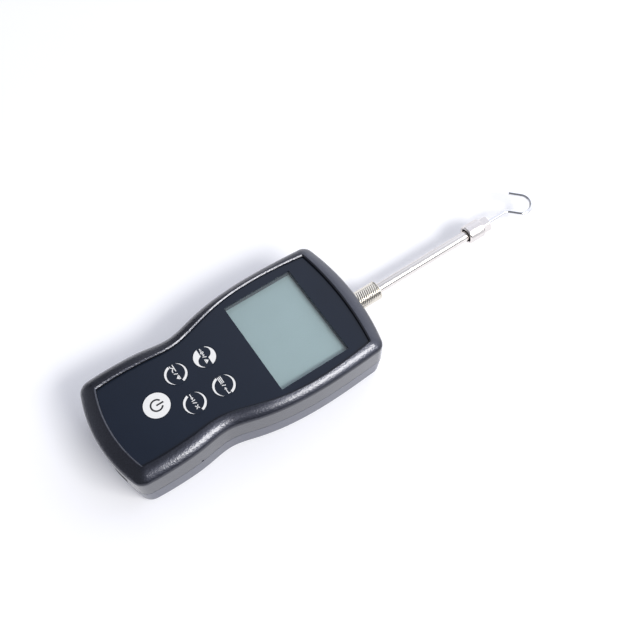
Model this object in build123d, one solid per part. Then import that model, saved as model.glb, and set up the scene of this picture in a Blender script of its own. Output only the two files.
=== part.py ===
from build123d import *
import os
from math import cos, pi, radians, sin, sqrt

os.makedirs("parts", exist_ok=True)

# Handheld digital force gauge with an extension rod and a hook.
# Millimetres. The gauge lies on its back: the back face is z = 0, +Y runs along
# the measuring axis towards the hook, and the origin is the centre of the back face.

# ---------------------------------------------------------------- case
body_length = 158.0
body_thickness = 34.5
parting_height = 15.4
wall = 2.2
back_floor = 2.2
deck_thickness = 2.0
top_end_radius = 135.0
bottom_end_radius = 85.0
top_corner_radius = 6.0
bottom_corner_radius = 7.5
rim_knee_radius = 3.0
rim_knee_angle = 45.0
rim_knee_steps = 4
rim_crown_radius = 12.0
rim_crown_steps = 7
cavity_edge_radius = 2.3
back_edge_radius = 2.5
back_taper = 1.2
parting_groove = 0.3
lip_thickness = 1.0
lip_height = 1.5
lip_root = 3.0
lip_clearance = 0.1
smallest_corner = 1.0
cut_overrun = 1.0

# The waisted side, from the grip end to the head: height along the case,
# half width of the case, and width of the moulded rim outside the front panel.
bottom_corner_half_width = 32.9
bottom_corner_rim = 8.0
grip_station = (-54.0, 33.9, 8.3)
palm_station = (-35.0, 32.9, 8.05)
waist_station = (-20.0, 31.35, 7.15)
shoulder_station = (-6.0, 34.6, 7.1)
cheek_station = (12.0, 38.3, 5.8)
head_station = (38.0, 39.9, 5.3)
top_corner_half_width = 38.4
top_corner_rim = 6.2

# ---------------------------------------------------------------- front panel
panel_recess = 2.3
overlay_thickness = 0.8
panel_top_rim = 8.3
panel_bottom_rim = 8.8
panel_top_radius = 178.0
panel_bottom_radius = 75.0
panel_corner_radius = 0.6
panel_clearance = 0.1
rim_bevel = 0.7
window_width = 58.0
window_length = 42.3
window_centre_y = 35.2
lens_border = 2.1
lens_thickness = 1.0
lens_clearance = 0.2
lens_ledge = 1.4

# ---------------------------------------------------------------- keys
key_diameter = 13.2
power_key_diameter = 15.2
key_column_pitch = 19.7
upper_keys_y = -9.6
lower_keys_y = -27.1
power_key_y = -44.1
key_cap_thickness = 0.5
key_rim_clearance = 0.1
key_stem_diameter = 4.0
key_stem_clearance = 0.3
key_switch_gap = 0.3
switch_body = 6.2
switch_body_height = 2.6
switch_plunger_diameter = 3.2
switch_plunger_height = 1.0

# ---------------------------------------------------------------- display module
bezel_width = 66.5
bezel_length = 54.0
bezel_sheet = 0.4
bezel_deck_gap = 0.1
bezel_window_border = 0.8
glass_thickness = 1.6
glass_clearance = 0.3
contact_strip_width = 2.4
backlight_thickness = 1.9

# ---------------------------------------------------------------- main board
board_thickness = 1.6
board_edge_inset = 3.4
board_boss_height = 4.4
board_boss_diameter = 5.0
board_screw_radius = 1.2
board_screw_length = 5.0
board_screw_head_radius = 2.2
board_screw_head_height = 1.6
board_screw_points = [(22.0, -30.0), (14.0, -60.0), (31.0, 4.5), (20.0, 67.5)]
# Each chip: x, y, width, length, height.
board_chip_sizes = [
    (0.0, 30.0, 12.0, 12.0, 1.4),
    (-12.0, 48.0, 6.0, 10.0, 1.6),
    (14.0, 8.0, 5.0, 6.0, 1.5),
    (-6.0, -2.0, 7.0, 5.0, 1.5),
]
board_boss_room = 0.3
connector_width = 7.0
connector_depth = 5.5
connector_height = 5.5
cell_connector_centre = (-27.0, 40.0)
battery_connector_centre = (-22.0, -15.0)
buzzer_diameter = 8.4
buzzer_height = 7.0
buzzer_centre = (25.0, -38.5)
sound_hole_diameter = 1.4
sound_hole_height = 16.3

# ---------------------------------------------------------------- sockets in the bottom end
jack_x = 5.0
jack_width = 9.0
jack_length = 13.0
jack_barrel_diameter = 6.2
jack_bore_diameter = 5.5
jack_pin_diameter = 2.0
contact_setback = 1.0
jack_bore_depth = 9.5
jack_hole_clearance = 0.2
jack_lip_clearance = 0.4
socket_x = 18.0
socket_width = 7.8
socket_height = 4.0
socket_length = 7.0
socket_shell = 0.4
socket_tongue_width = 4.6
socket_tongue_thickness = 0.8
socket_aperture_border = 0.8
socket_setback = 2.2

# ---------------------------------------------------------------- case screws and inserts
case_screw_points = [(29.0, 68.0), (26.5, -6.0), (26.0, -64.0)]
case_boss_diameter = 7.0
case_screw_radius = 1.45
case_screw_hole_radius = 1.6
case_pilot_radius = 1.5
case_screw_length = 18.0
case_pilot_depth = 6.6
case_head_radius = 2.75
case_head_height = 2.4
case_head_seat = 3.0
case_head_clearance = 0.25
mount_spacing_x = 36.0
mount_spacing_y = 60.0
mount_centre_y = 28.0
insert_outer_radius = 2.8
insert_bore_radius = 2.0
insert_length = 5.6
insert_boss_diameter = 8.4
insert_boss_height = 6.0

# ---------------------------------------------------------------- load path
axis_height = 12.4
cell_width = 40.0
cell_length = 40.0
cell_thickness = 12.0
cell_end_y = 54.0
cell_arm = 9.0
cell_slot = 1.6
cell_slot_web = 8.0
cell_window_width = 22.0
cell_window_length = 11.0
cell_window_corner = 3.0
cell_bore_depth = 8.0
gauge_length = 6.0
gauge_height = 4.0
gauge_thickness = 0.2
gauge_offset = 5.0
bracket_upright = 4.5
bracket_upright_width = 32.0
bracket_base_width = 26.0
bracket_bay_gap = 3.0
bracket_plate = 3.0
bracket_pad_height = 3.0
bracket_pad_diameter = 7.0
bracket_screw_x = 9.0
bracket_screw_margin = 4.0
bracket_screw_setback = 10.0
cell_screw_radius = 2.0
cell_screw_head_radius = 3.5
cell_screw_head_height = 3.5
cell_screw_reach = 7.0
cell_screw_hole_depth = 8.0
cell_screw_x = 10.0
small_screw_radius = 1.45
small_screw_head_radius = 2.75
small_screw_head_height = 2.0
small_screw_reach = 4.4
screw_clearance = 0.05

stop_centre_y = 68.0
stop_width = 24.0
stop_wall = 2.7
stop_top_gap = 0.4
stop_foot_length = 8.0
stop_foot_x = 16.0
flange_diameter = 12.0
flange_thickness = 2.0
flange_gap = 0.3
flange_side_gap = 0.4
shaft_diameter = 8.0
shaft_notch_clearance = 0.25
shaft_shoulder_gap = 0.3
shaft_inner_stud_diameter = 6.0
shaft_inner_stud_length = 7.0
shaft_exit = 1.6
stud_diameter = 5.9
stud_length = 8.2
seal_outer_diameter = 12.4
seal_clearance = 0.1
seal_flange_diameter = 15.0
seal_flange_thickness = 1.2
seal_room_depth = 4.0

# ---------------------------------------------------------------- battery
battery_diameter = 10.5
battery_length = 44.5
battery_cap_diameter = 4.2
battery_cap_height = 1.0
battery_pitch = 10.7
battery_count = 4
battery_start_y = -62.0
bay_wall = 1.2
bay_clearance = 0.3
bay_height = 8.0
strap_y = -52.0
strap_width = 10.0
strap_thickness = 1.2
strap_screw_x = 26.0
strap_boss_diameter = 6.0
strap_end_margin = 3.0
strap_gap = 0.2
cord_radius = 0.8
cord_notch = 1.2

# ---------------------------------------------------------------- extension rod and hook
collar_gap = 1.8
collar_diameter = 11.4
collar_length = 16.6
collar_chamfer = 0.8
collar_thread_depth = 9.0
thread_clearance = 0.05
rod_diameter = 6.0
rod_seat = 7.0
rod_end_y = 165.5
rod_stud_diameter = 4.9
rod_stud_length = 6.5
coupler_start_y = 162.9
coupler_diameter = 11.2
coupler_knurl_length = 10.7
coupler_hex_across_flats = 8.8
coupler_hex_length = 5.3
coupler_chamfer = 0.5
coupler_countersink_diameter = 8.6
coupler_countersink_depth = 2.0
coupler_thread_depth = 10.1
wire_diameter = 2.4
wire_seat = 5.0
hook_shank_length = 13.1
hook_bend_radius = 5.0
hook_loop_radius = 6.8
hook_loop_offset = 0.6
hook_lean = 45.0
hook_tip_length = 7.4

# ---------------------------------------------------------------- heights and places that follow
half_length = body_length / 2
panel_top = body_thickness - panel_recess
seal_seat_y = half_length - wall
panel_floor = panel_top - overlay_thickness
deck_underside = panel_floor - deck_thickness
board_top = deck_underside - board_boss_height
board_bottom = board_top - board_thickness
glass_bottom = deck_underside - bezel_deck_gap - bezel_sheet - glass_thickness
cell_start_y = cell_end_y - cell_length
cell_centre_y = (cell_start_y + cell_end_y) / 2
cell_bottom = axis_height - cell_thickness / 2
cell_top = axis_height + cell_thickness / 2
pad_top = back_floor + bracket_pad_height
strap_seat = back_floor + battery_diameter + strap_gap
battery_z = back_floor + battery_diameter / 2
battery_end_y = battery_start_y + battery_length
bracket_back_y = cell_start_y - bracket_upright
bracket_start_y = battery_end_y + bay_clearance + bay_wall + bracket_bay_gap
bracket_screw_points = [
    (bracket_screw_x, bracket_start_y + bracket_screw_margin),
    (bracket_screw_x, bracket_back_y - bracket_screw_setback),
]
first_battery_x = -battery_pitch * (battery_count - 1) / 2
coupler_end_y = coupler_start_y + coupler_knurl_length + coupler_hex_length
collar_start_y = half_length + collar_gap
collar_end_y = collar_start_y + collar_length
coupler_drum_end_y = coupler_start_y + coupler_knurl_length
stations = [grip_station, palm_station, waist_station, shoulder_station, cheek_station, head_station]


# ---------------------------------------------------------------- shared shapes
def arc_drop(radius, offset):
    """How far an arc has fallen away from its crown at this offset."""
    return radius - sqrt(radius**2 - offset**2)


def waisted_face(side, top_y, top_radius, bottom_y, bottom_radius, top_corner, bottom_corner):
    """A waisted outline: mirrored splines for sides, arcs for ends, round corners.

    side holds the bottom corner's x, the (x, y) points between, and the top corner's x.
    """
    bottom_x, middle, top_x = side
    low = (bottom_x, bottom_y + arc_drop(bottom_radius, bottom_x))
    high = (top_x, top_y - arc_drop(top_radius, top_x))
    right = Spline(low, *middle, high)
    left = Spline(*[(-x, y) for x, y in [low, *middle, high]])
    top = ThreePointArc(high, (0, top_y), (-high[0], high[1]))
    bottom = ThreePointArc(low, (0, bottom_y), (-low[0], low[1]))
    face = make_face([right, top, left, bottom])
    corners = face.vertices().sort_by(Axis.Y)
    face = fillet(corners[:2], bottom_corner)
    corners = face.vertices().sort_by(Axis.Y)
    return fillet(corners[-2:], top_corner)


def case_face(inset=0.0):
    """The case's outline, moved inwards all round."""
    middle = [(half_width - inset, y) for y, half_width, rim in stations]
    side = (bottom_corner_half_width - inset, middle, top_corner_half_width - inset)
    return waisted_face(
        side,
        half_length - inset,
        top_end_radius,
        inset - half_length,
        bottom_end_radius,
        max(top_corner_radius - inset / 2, smallest_corner),
        max(bottom_corner_radius - inset / 2, smallest_corner),
    )


def panel_face(inset=0.0):
    """The front panel's outline inside the moulded rim."""
    middle = [(half_width - rim - inset, y) for y, half_width, rim in stations]
    side = (
        bottom_corner_half_width - bottom_corner_rim - inset,
        middle,
        top_corner_half_width - top_corner_rim - inset,
    )
    return waisted_face(
        side,
        half_length - panel_top_rim - inset,
        panel_top_radius,
        panel_bottom_rim + inset - half_length,
        panel_bottom_radius,
        panel_corner_radius,
        panel_corner_radius,
    )


def raised(face, low, high):
    """The face as a solid between two heights."""
    return extrude(Pos(0, 0, low) * face, amount=high - low)


def box_between(x, y, z):
    """A box from three (low, high) pairs."""
    size = [high - low for low, high in (x, y, z)]
    centre = [(low + high) / 2 for low, high in (x, y, z)]
    return Pos(*centre) * Box(*size)


def plate(width, length, centre_y, low, high, corner=0.0):
    """A centred rectangular plate with optional rounded corners."""
    outline = RectangleRounded(width, length, corner) if corner else Rectangle(width, length)
    return raised(Pos(0, centre_y) * outline, low, high)


def upright(x, y, radius, low, high):
    """A vertical cylinder between two heights."""
    return Pos(x, y, (low + high) / 2) * Cylinder(radius, high - low)


def axial(radius, start_y, end_y, x=0.0, z=axis_height):
    """A cylinder along Y."""
    middle = (start_y + end_y) / 2
    return Pos(x, middle, z) * Rot(90, 0, 0) * Cylinder(radius, end_y - start_y)


def turned(points):
    """A turned piece on the measuring axis from (radius, y) points."""
    profile = make_face(Polyline(*points, close=True))
    return Pos(0, 0, axis_height) * revolve(profile, Axis.Y)


def both_sides(points):
    """Each point and its mirror image across the centre plane."""
    return [(sign * x, y) for x, y in points for sign in (1, -1)]


def down_screw(x, y, seat):
    """A small pan-head screw driven downwards, its head resting on the seat."""
    shank = upright(x, y, small_screw_radius, seat - small_screw_reach, seat)
    return shank + upright(x, y, small_screw_head_radius, seat, seat + small_screw_head_height)


def up_screw(x, y, seat, shank_radius, reach, head_radius, head_height):
    """A pan-head screw driven upwards, its head under the seat."""
    shank = upright(x, y, shank_radius, seat, seat + reach)
    return shank + upright(x, y, head_radius, seat - head_height, seat)


def cord(points):
    """A round lead along a smooth path."""
    path = Spline(*points)
    start = Plane(origin=path @ 0, z_dir=path % 0)
    return sweep(start * Circle(cord_radius), path=path)


def save(node, shape):
    """Writes one node; separate pieces of a group stay separate solids."""
    export_step(shape, f"parts/{node}.step")


def save_group(node, solids):
    save(node, Compound(children=[solid for piece in solids for solid in piece.solids()]))


# ---------------------------------------------------------------- positions that repeat
case_screws_at = both_sides(case_screw_points)
board_screws_at = both_sides(board_screw_points)
bracket_screws_at = both_sides(bracket_screw_points)
stop_screws_at = both_sides([(stop_foot_x, stop_centre_y)])
strap_screws_at = both_sides([(strap_screw_x, strap_y)])
mount_y = (mount_centre_y - mount_spacing_y / 2, mount_centre_y + mount_spacing_y / 2)
inserts_at = both_sides([(mount_spacing_x / 2, y) for y in mount_y])
small_keys = {
    "up_key": (-key_column_pitch / 2, upper_keys_y),
    "down_key": (-key_column_pitch / 2, lower_keys_y),
    "enter_key": (key_column_pitch / 2, upper_keys_y),
    "exit_key": (key_column_pitch / 2, lower_keys_y),
}
keys = {node: (x, y, key_diameter) for node, (x, y) in small_keys.items()}
keys["power_key"] = (0.0, power_key_y, power_key_diameter)
shaft_hole_radius = seal_outer_diameter / 2 + seal_clearance
jack_z = board_bottom - jack_width / 2
jack_face_y = wall - half_length + arc_drop(bottom_end_radius, jack_x + jack_width / 2)
socket_z = board_bottom - socket_height / 2
socket_corner_drop = arc_drop(bottom_end_radius, socket_x + socket_width / 2)
socket_face_y = socket_setback - half_length + socket_corner_drop


def shaft_opening():
    """The round opening in the top end wall, with room inside for the seal's flange."""
    flange_room_radius = seal_flange_diameter / 2 + seal_clearance
    flange_room = axial(flange_room_radius, seal_seat_y - seal_room_depth, seal_seat_y)
    return axial(shaft_hole_radius, seal_seat_y - cut_overrun, half_length + cut_overrun) + flange_room


# ---------------------------------------------------------------- case shells
def rim_profile():
    """Inset and height along the rim: a tight knee over the wall, then a broad crown."""
    knee_end = radians(rim_knee_angle)
    crown_centre = body_thickness - rim_crown_radius
    knee_inset = rim_knee_radius * (1 - cos(knee_end))
    knee_centre = crown_centre + (rim_crown_radius - rim_knee_radius) * sin(knee_end)
    profile = []
    for step in range(rim_knee_steps):
        angle = knee_end * step / rim_knee_steps
        inset = rim_knee_radius * (1 - cos(angle))
        profile.append((inset, knee_centre + rim_knee_radius * sin(angle)))
    for step in range(rim_crown_steps + 1):
        angle = knee_end + (pi / 2 - knee_end) * step / rim_crown_steps
        inset = knee_inset + rim_crown_radius * (cos(knee_end) - cos(angle))
        profile.append((inset, crown_centre + rim_crown_radius * sin(angle)))
    return profile


def front_cover():
    profile = rim_profile()
    wall_top = profile[0][1]
    shell = raised(case_face(), parting_height, wall_top)
    shell += loft([Pos(0, 0, height) * case_face(inset) for inset, height in profile])
    cavity = raised(case_face(wall), parting_height, deck_underside)
    cavity = fillet(cavity.faces().sort_by(Axis.Z)[-1].edges(), cavity_edge_radius)
    shell -= cavity
    shell -= raised(panel_face(), panel_floor, body_thickness + cut_overrun)
    above_panel = [edge for edge in shell.edges() if edge.bounding_box().min.Z > panel_top]
    shell = chamfer(above_panel, rim_bevel)
    for x, y in case_screws_at:
        shell += upright(x, y, case_boss_diameter / 2, parting_height, deck_underside)
        shell -= upright(x, y, case_pilot_radius, parting_height, parting_height + case_pilot_depth)
    for x, y in board_screws_at:
        shell += upright(x, y, board_boss_diameter / 2, board_top, deck_underside)
        shell -= upright(x, y, board_screw_radius + screw_clearance, board_top, deck_underside)
    lens_seat = panel_floor - lens_thickness
    width = window_width + 2 * lens_border
    length = window_length + 2 * lens_border
    shell -= plate(width, length, window_centre_y, lens_seat, panel_floor)
    opening_width = width - 2 * lens_ledge
    opening_length = length - 2 * lens_ledge
    shell -= plate(opening_width, opening_length, window_centre_y, deck_underside, panel_floor)
    for x, y, diameter in keys.values():
        shell -= upright(x, y, key_stem_diameter / 2 + key_stem_clearance, deck_underside, panel_floor)
    groove_top = parting_height + parting_groove
    groove = raised(case_face(-cut_overrun), parting_height, groove_top)
    shell -= groove - raised(case_face(parting_groove), parting_height, groove_top)
    shell -= shaft_opening()
    jack_hole = jack_barrel_diameter / 2 + jack_hole_clearance
    shell -= axial(jack_hole, -half_length, jack_face_y, jack_x, jack_z)
    aperture = RectangleRounded(
        socket_width + 2 * socket_aperture_border,
        socket_height + 2 * socket_aperture_border,
        socket_aperture_border,
    )
    aperture_end = Plane(origin=(socket_x, -half_length, socket_z), x_dir=(1, 0, 0), z_dir=(0, 1, 0))
    shell -= extrude(aperture_end * aperture, amount=socket_face_y + half_length)
    sound_x, sound_y = buzzer_centre
    outside = head_station[1]
    side_hole = Pos((sound_x + outside) / 2, sound_y, sound_hole_height) * Rot(0, 90, 0)
    return shell - side_hole * Cylinder(sound_hole_diameter / 2, outside - sound_x)


def back_cover():
    shell = loft([Pos(0, 0, 0) * case_face(back_taper), Pos(0, 0, parting_height) * case_face()])
    shell = fillet(shell.faces().sort_by(Axis.Z)[0].edges(), back_edge_radius)
    low_cavity = Pos(0, 0, back_floor) * case_face(back_taper + wall)
    shell -= loft([low_cavity, Pos(0, 0, parting_height) * case_face(wall)])
    lip_outer = wall + lip_clearance
    lip_top = parting_height + lip_height
    lip = raised(case_face(lip_outer), parting_height, lip_top)
    lip += raised(case_face(wall / 2), parting_height - lip_root, parting_height)
    lip -= raised(case_face(lip_outer + lip_thickness), parting_height - lip_root, lip_top)
    shell += lip
    for x, y in case_screws_at:
        shell += upright(x, y, case_boss_diameter / 2, back_floor, parting_height)
        shell -= upright(x, y, case_boss_diameter / 2 + lip_clearance, parting_height, lip_top)
        shell -= upright(x, y, case_screw_hole_radius, 0, parting_height)
        shell -= upright(x, y, case_head_radius + case_head_clearance, 0, case_head_seat)
    for x, y in inserts_at:
        shell += upright(x, y, insert_boss_diameter / 2, 0, insert_boss_height)
        shell -= upright(x, y, insert_outer_radius, 0, insert_length)
        shell -= upright(x, y, insert_bore_radius, insert_length, insert_boss_height)
    for x, y in bracket_screws_at + stop_screws_at:
        shell += upright(x, y, bracket_pad_diameter / 2, back_floor, pad_top)
    for x, y in strap_screws_at:
        shell += upright(x, y, strap_boss_diameter / 2, back_floor, strap_seat)
    bay_x = battery_diameter / 2 + bay_clearance - first_battery_x
    bay_y = (battery_start_y - bay_clearance, battery_end_y + bay_clearance)
    bay_z = (back_floor, back_floor + bay_height)
    outer_x = (-bay_x - bay_wall, bay_x + bay_wall)
    outer_y = (bay_y[0] - bay_wall, bay_y[1] + bay_wall)
    shell += box_between(outer_x, outer_y, bay_z) - box_between((-bay_x, bay_x), bay_y, bay_z)
    screw_depth = small_screw_reach - bracket_plate
    hole_radius = small_screw_radius + screw_clearance
    for x, y in bracket_screws_at + stop_screws_at:
        shell -= upright(x, y, hole_radius, pad_top - screw_depth, pad_top)
    for x, y in strap_screws_at:
        shell -= upright(x, y, hole_radius, strap_seat - small_screw_reach, strap_seat)
    notch_x = (first_battery_x - cord_notch, first_battery_x + cord_notch)
    shell -= box_between(notch_x, (bay_y[1], bay_y[1] + bay_wall), (bay_z[1] / 2, bay_z[1]))
    jack_half = jack_width / 2 + jack_lip_clearance
    jack_room_x = (jack_x - jack_half, jack_x + jack_half)
    jack_room_y = (jack_face_y - jack_lip_clearance, jack_face_y + lip_thickness + wall)
    jack_room_z = (board_bottom - jack_width - jack_lip_clearance, lip_top)
    shell -= box_between(jack_room_x, jack_room_y, jack_room_z)
    return shell - shaft_opening()


def mount_insert(x, y):
    outer = upright(x, y, insert_outer_radius, 0, insert_length)
    return outer - upright(x, y, insert_bore_radius, 0, insert_length)


# ---------------------------------------------------------------- front panel and keys
def overlay():
    sheet = raised(panel_face(panel_clearance), panel_floor, panel_top)
    sheet -= plate(window_width, window_length, window_centre_y, panel_floor, panel_top)
    for x, y, diameter in keys.values():
        sheet -= upright(x, y, diameter / 2 + key_rim_clearance, panel_floor, panel_top)
    return sheet


def window_lens():
    width = window_width + 2 * (lens_border - lens_clearance)
    length = window_length + 2 * (lens_border - lens_clearance)
    return plate(width, length, window_centre_y, panel_floor - lens_thickness, panel_floor)


def key(x, y, diameter):
    cap_bottom = panel_top - key_cap_thickness
    stem_bottom = board_top + switch_body_height + switch_plunger_height + key_switch_gap
    cap = upright(x, y, diameter / 2, cap_bottom, panel_top)
    return cap + upright(x, y, key_stem_diameter / 2, stem_bottom, cap_bottom)


def key_switch(x, y):
    body_top = board_top + switch_body_height
    half = switch_body / 2
    body = box_between((x - half, x + half), (y - half, y + half), (board_top, body_top))
    return body + upright(x, y, switch_plunger_diameter / 2, body_top, body_top + switch_plunger_height)


# ---------------------------------------------------------------- display module
def lcd_bezel():
    top = deck_underside - bezel_deck_gap
    frame = plate(bezel_width, bezel_length, window_centre_y, board_top, top)
    inner_width = bezel_width - 2 * bezel_sheet
    inner_length = bezel_length - 2 * bezel_sheet
    frame -= plate(inner_width, inner_length, window_centre_y, board_top, top - bezel_sheet)
    opening_width = window_width + 2 * bezel_window_border
    opening_length = window_length + 2 * bezel_window_border
    return frame - plate(opening_width, opening_length, window_centre_y, board_top, top)


def lcd_glass():
    inset = 2 * (bezel_sheet + glass_clearance)
    top = glass_bottom + glass_thickness
    return plate(bezel_width - inset, bezel_length - inset, window_centre_y, glass_bottom, top)


def contact_strips():
    width = bezel_width - 4 * (bezel_sheet + glass_clearance)
    reach = bezel_length / 2 - bezel_sheet - glass_clearance - contact_strip_width / 2
    centres = [window_centre_y - reach, window_centre_y + reach]
    return [plate(width, contact_strip_width, y, board_top, glass_bottom) for y in centres]


def lcd_backlight():
    width = bezel_width - 4 * (bezel_sheet + glass_clearance)
    length = bezel_length - 2 * (bezel_sheet + 2 * glass_clearance) - 2 * contact_strip_width
    return plate(width, length, window_centre_y, glass_bottom - backlight_thickness, glass_bottom)


# ---------------------------------------------------------------- main board
def main_board():
    board = raised(case_face(board_edge_inset), board_bottom, board_top)
    boss_room = case_boss_diameter / 2 + board_boss_room
    for x, y in case_screws_at:
        board -= upright(x, y, boss_room, board_bottom, board_top)
    for x, y in board_screws_at:
        board -= upright(x, y, board_screw_radius + screw_clearance, board_bottom, board_top)
    return board


def chip(x, y, width, length, height):
    x_range = (x - width / 2, x + width / 2)
    y_range = (y - length / 2, y + length / 2)
    return box_between(x_range, y_range, (board_bottom - height, board_bottom))


def connector(centre):
    return chip(*centre, connector_width, connector_depth, connector_height)


def buzzer():
    x, y = buzzer_centre
    low = board_bottom - buzzer_height
    can = upright(x, y, buzzer_diameter / 2, low, board_bottom)
    return can - upright(x, y, sound_hole_diameter / 2, low, board_bottom - buzzer_height / 2)


def dc_jack():
    x_range = (jack_x - jack_width / 2, jack_x + jack_width / 2)
    y_range = (jack_face_y, jack_face_y + jack_length)
    body = box_between(x_range, y_range, (board_bottom - jack_width, board_bottom))
    front = parting_groove - half_length + arc_drop(bottom_end_radius, jack_x + jack_barrel_diameter / 2)
    body += axial(jack_barrel_diameter / 2, front, jack_face_y, jack_x, jack_z)
    body -= axial(jack_bore_diameter / 2, front, front + jack_bore_depth, jack_x, jack_z)
    pin_start = front + contact_setback
    return body + axial(jack_pin_diameter / 2, pin_start, front + jack_bore_depth, jack_x, jack_z)


def data_socket():
    half = socket_width / 2
    y_range = (socket_face_y, socket_face_y + socket_length)
    z_range = (board_bottom - socket_height, board_bottom)
    shell = box_between((socket_x - half, socket_x + half), y_range, z_range)
    inner_x = (socket_x - half + socket_shell, socket_x + half - socket_shell)
    inner_z = (z_range[0] + socket_shell, z_range[1] - socket_shell)
    back = y_range[1] - socket_shell
    shell -= box_between(inner_x, (y_range[0], back), inner_z)
    tongue_x = (socket_x - socket_tongue_width / 2, socket_x + socket_tongue_width / 2)
    tongue_z = (socket_z - socket_tongue_thickness / 2, socket_z + socket_tongue_thickness / 2)
    return shell + box_between(tongue_x, (y_range[0] + contact_setback, back), tongue_z)


# ---------------------------------------------------------------- load cell and its carriers
def load_cell():
    """An S-shaped beam: two arms joined by a middle block with a window cut through it."""
    half_width = cell_width / 2
    z_range = (cell_bottom, cell_top)
    beam = box_between((-half_width, half_width), (cell_start_y, cell_end_y), z_range)
    slot_reach = half_width - cell_slot_web
    low_slot = (cell_start_y + cell_arm, cell_start_y + cell_arm + cell_slot)
    high_slot = (cell_end_y - cell_arm - cell_slot, cell_end_y - cell_arm)
    beam -= box_between((-slot_reach, half_width), low_slot, z_range)
    beam -= box_between((-half_width, slot_reach), high_slot, z_range)
    window = (cell_window_width, cell_window_length, cell_centre_y, cell_bottom, cell_top)
    beam -= plate(*window, cell_window_corner)
    stud_bore = shaft_inner_stud_diameter / 2 + thread_clearance
    beam -= axial(stud_bore, cell_end_y - cell_bore_depth, cell_end_y)
    for x in (-cell_screw_x, cell_screw_x):
        hole_end = cell_start_y + cell_screw_hole_depth
        beam -= axial(cell_screw_radius + screw_clearance, cell_start_y, hole_end, x)
    return beam


def strain_gauges():
    gauges = []
    z_range = (axis_height - gauge_height / 2, axis_height + gauge_height / 2)
    for x in (-gauge_offset, gauge_offset):
        for side in (-1, 1):
            wall_y = cell_centre_y + side * cell_window_length / 2
            y_range = sorted((wall_y, wall_y - side * gauge_thickness))
            x_range = (x - gauge_length / 2, x + gauge_length / 2)
            gauges.append(box_between(x_range, y_range, z_range))
    return gauges


def load_cell_bracket():
    half_upright = bracket_upright_width / 2
    half_base = bracket_base_width / 2
    y_range = (bracket_back_y, cell_start_y)
    bracket = box_between((-half_upright, half_upright), y_range, (pad_top, cell_top))
    base_z = (pad_top, pad_top + bracket_plate)
    bracket += box_between((-half_base, half_base), (bracket_start_y, bracket_back_y), base_z)
    for x in (-cell_screw_x, cell_screw_x):
        bracket -= axial(cell_screw_radius + screw_clearance, *y_range, x)
    for x, y in bracket_screws_at:
        bracket -= upright(x, y, small_screw_radius + screw_clearance, *base_z)
    return bracket


def cell_screw(x):
    seat = bracket_back_y
    shank = axial(cell_screw_radius, seat, cell_start_y + cell_screw_reach, x)
    return shank + axial(cell_screw_head_radius, seat - cell_screw_head_height, seat, x)


def overload_stop():
    """A yoke: two notched walls that stand either side of the shaft's flange."""
    half_width = stop_width / 2
    half_gap = flange_thickness / 2 + flange_gap
    half_length_y = half_gap + stop_wall
    y_range = (stop_centre_y - half_length_y, stop_centre_y + half_length_y)
    yoke = box_between((-half_width, half_width), y_range, (back_floor, cell_top))
    foot_z = (pad_top, pad_top + bracket_plate)
    reach = half_width + stop_foot_length
    for sign in (-1, 1):
        x_range = sorted((sign * (half_width - cut_overrun), sign * reach))
        yoke += box_between(x_range, y_range, foot_z)
    for x, y in stop_screws_at:
        yoke -= upright(x, y, small_screw_radius + screw_clearance, *foot_z)
        yoke -= upright(x, y, bracket_pad_diameter / 2 + screw_clearance, back_floor, pad_top)
    slot_radius = flange_diameter / 2 + flange_side_gap
    slot_y = (stop_centre_y - half_gap, stop_centre_y + half_gap)
    yoke -= axial(slot_radius, *slot_y)
    yoke -= box_between((-slot_radius, slot_radius), slot_y, (axis_height, cell_top))
    notch = shaft_diameter / 2 + shaft_notch_clearance
    yoke -= axial(notch, *y_range)
    return yoke - box_between((-notch, notch), y_range, (axis_height, cell_top))


def measuring_shaft():
    shaft_radius = shaft_diameter / 2
    inner_radius = shaft_inner_stud_diameter / 2
    shoulder = cell_end_y + shaft_shoulder_gap
    stud_end = half_length + shaft_exit + stud_length
    flange_start = stop_centre_y - flange_thickness / 2
    flange_end = stop_centre_y + flange_thickness / 2
    return turned([
        (0, shoulder - shaft_inner_stud_length),
        (inner_radius, shoulder - shaft_inner_stud_length),
        (inner_radius, shoulder),
        (shaft_radius, shoulder),
        (shaft_radius, flange_start),
        (flange_diameter / 2, flange_start),
        (flange_diameter / 2, flange_end),
        (shaft_radius, flange_end),
        (shaft_radius, half_length + shaft_exit),
        (stud_diameter / 2, half_length + shaft_exit),
        (stud_diameter / 2, stud_end),
        (0, stud_end),
    ])


def shaft_seal():
    inner = shaft_diameter / 2 + seal_clearance
    inner_face = seal_seat_y - arc_drop(top_end_radius, seal_flange_diameter / 2) - seal_clearance
    return turned([
        (inner, inner_face - seal_flange_thickness),
        (seal_flange_diameter / 2, inner_face - seal_flange_thickness),
        (seal_flange_diameter / 2, inner_face),
        (seal_outer_diameter / 2, inner_face),
        (seal_outer_diameter / 2, half_length - arc_drop(top_end_radius, seal_outer_diameter / 2)),
        (inner, half_length),
    ])


# ---------------------------------------------------------------- battery
def battery_cells():
    cells = []
    sleeve_end = battery_end_y - battery_cap_height
    for index in range(battery_count):
        x = first_battery_x + index * battery_pitch
        cell = axial(battery_diameter / 2, battery_start_y, sleeve_end, x, battery_z)
        cap = axial(battery_cap_diameter / 2, sleeve_end, battery_end_y, x, battery_z)
        cells.append(cell + cap)
    return cells


def battery_strap():
    half_width = strap_screw_x + strap_end_margin
    y_range = (strap_y - strap_width / 2, strap_y + strap_width / 2)
    z_range = (strap_seat, strap_seat + strap_thickness)
    strap = box_between((-half_width, half_width), y_range, z_range)
    for x, y in strap_screws_at:
        strap -= upright(x, y, small_screw_radius + screw_clearance, *z_range)
    return strap


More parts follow.
